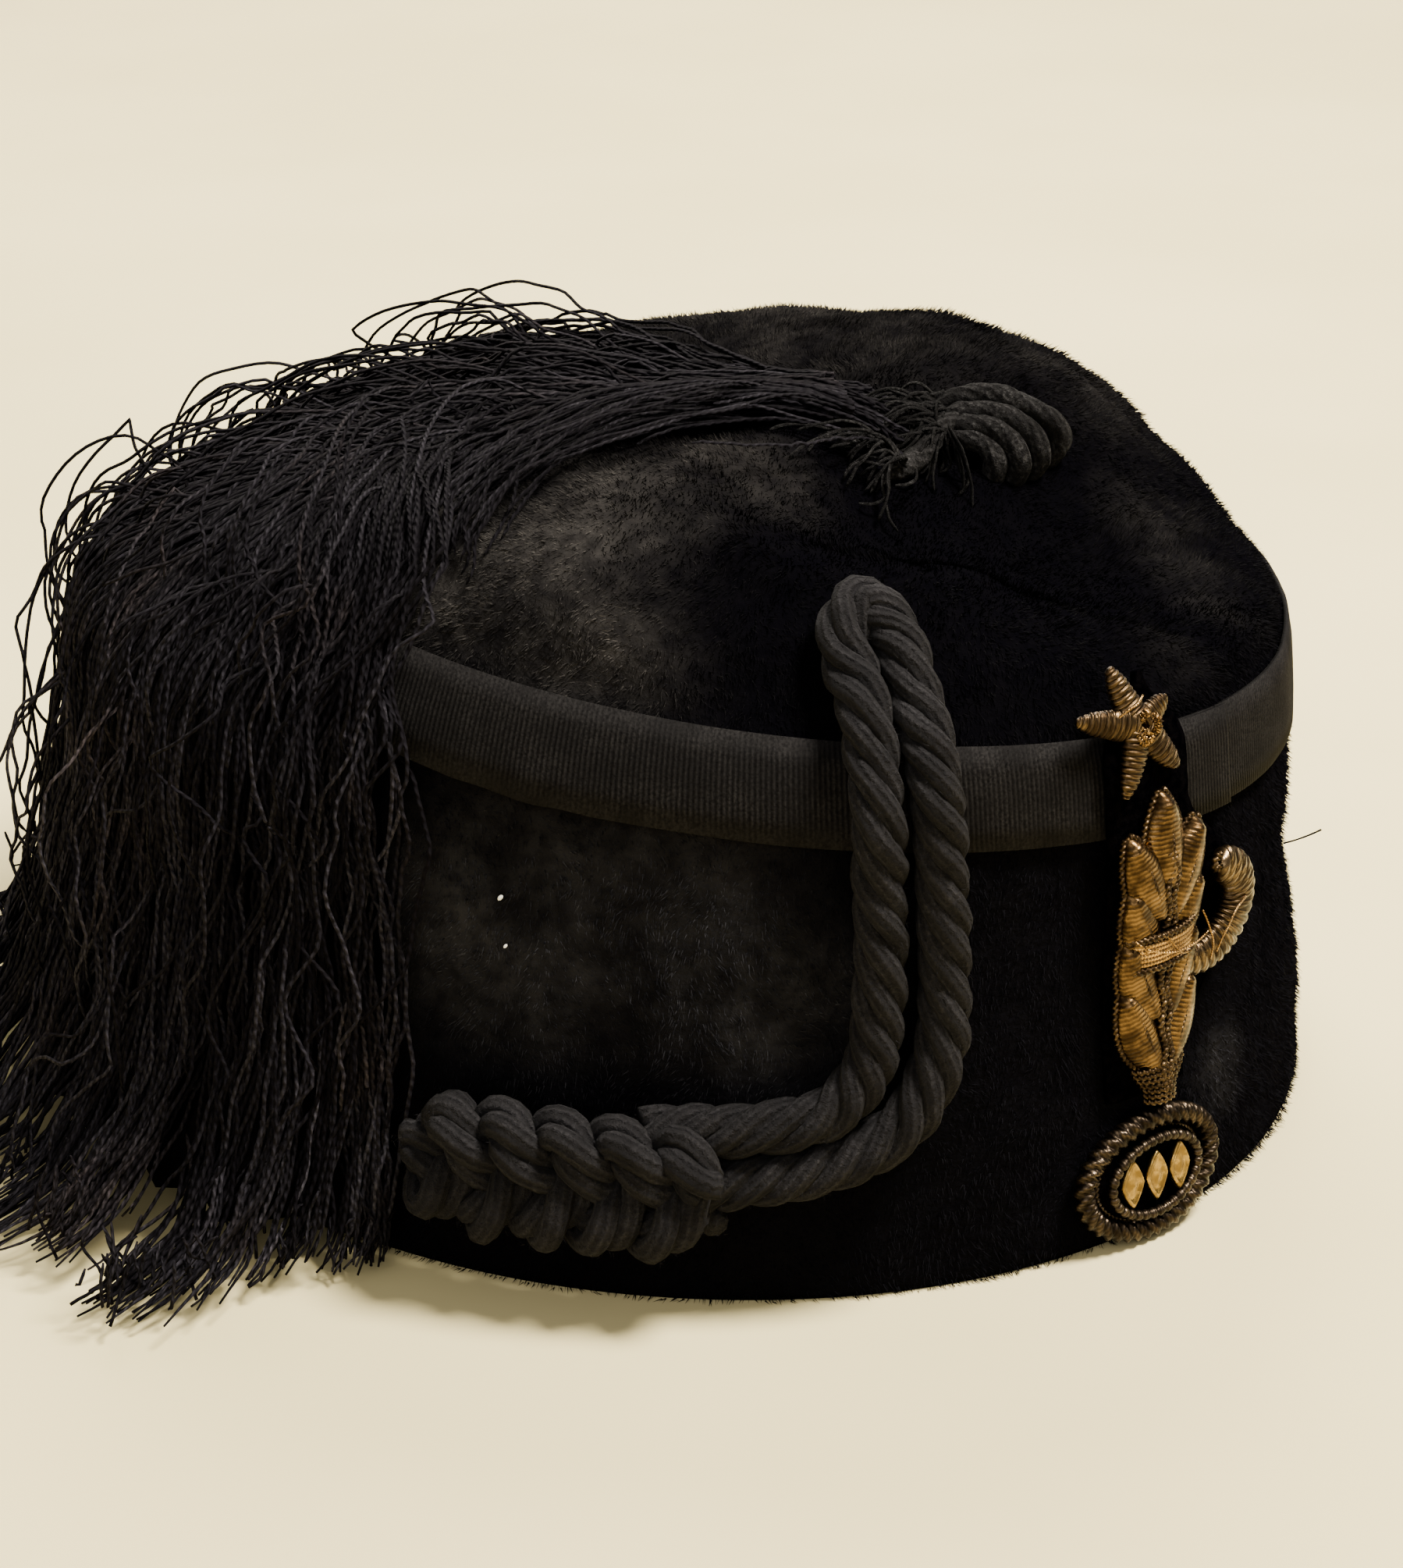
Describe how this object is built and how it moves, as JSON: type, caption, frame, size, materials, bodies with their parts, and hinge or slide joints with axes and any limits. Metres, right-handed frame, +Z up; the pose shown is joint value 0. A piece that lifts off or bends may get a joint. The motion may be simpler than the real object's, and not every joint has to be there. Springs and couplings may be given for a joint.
{
  "type": "fez",
  "caption": "Soft black plush felt fez with a ribbon band, a looped and plaited side cord, a long cord tassel and a bullion badge on the front.",
  "frame": {"origin": "middle of the base of the whole part's box, on the surface that the rim rests on", "axes": "+Z up, -Y towards the front with the badge, -X towards the wearer's right, where the cord is"},
  "size_m": [0.2196, 0.2422, 0.1141],
  "materials": {
    "plush": "soft black plush felt with a short nap",
    "grosgrain": "ribbed charcoal silk ribbon with a low sheen",
    "cord_yarn": "matte charcoal twisted cord",
    "tassel_thread": "black twisted thread",
    "backing_cloth": "black felt",
    "bullion": "antique gold wire, coiled and couched",
    "dark_bullion": "darker, tarnished gold wire",
    "gilt_metal": "polished gilt"
  },
  "bodies": {
    "root": {"crown": "plush", "ribbon_band": "grosgrain", "side_cord": "cord_yarn", "tassel": "tassel_thread", "badge_backing": "backing_cloth", "badge_star": "dark_bullion", "badge_spray": "bullion", "badge_tendril": "bullion", "badge_disc": "backing_cloth", "badge_disc_rope": "dark_bullion", "badge_disc_beads": "bullion", "badge_stud_1": "gilt_metal", "badge_stud_2": "gilt_metal", "badge_stud_3": "gilt_metal"}
  },
  "joints": []
}
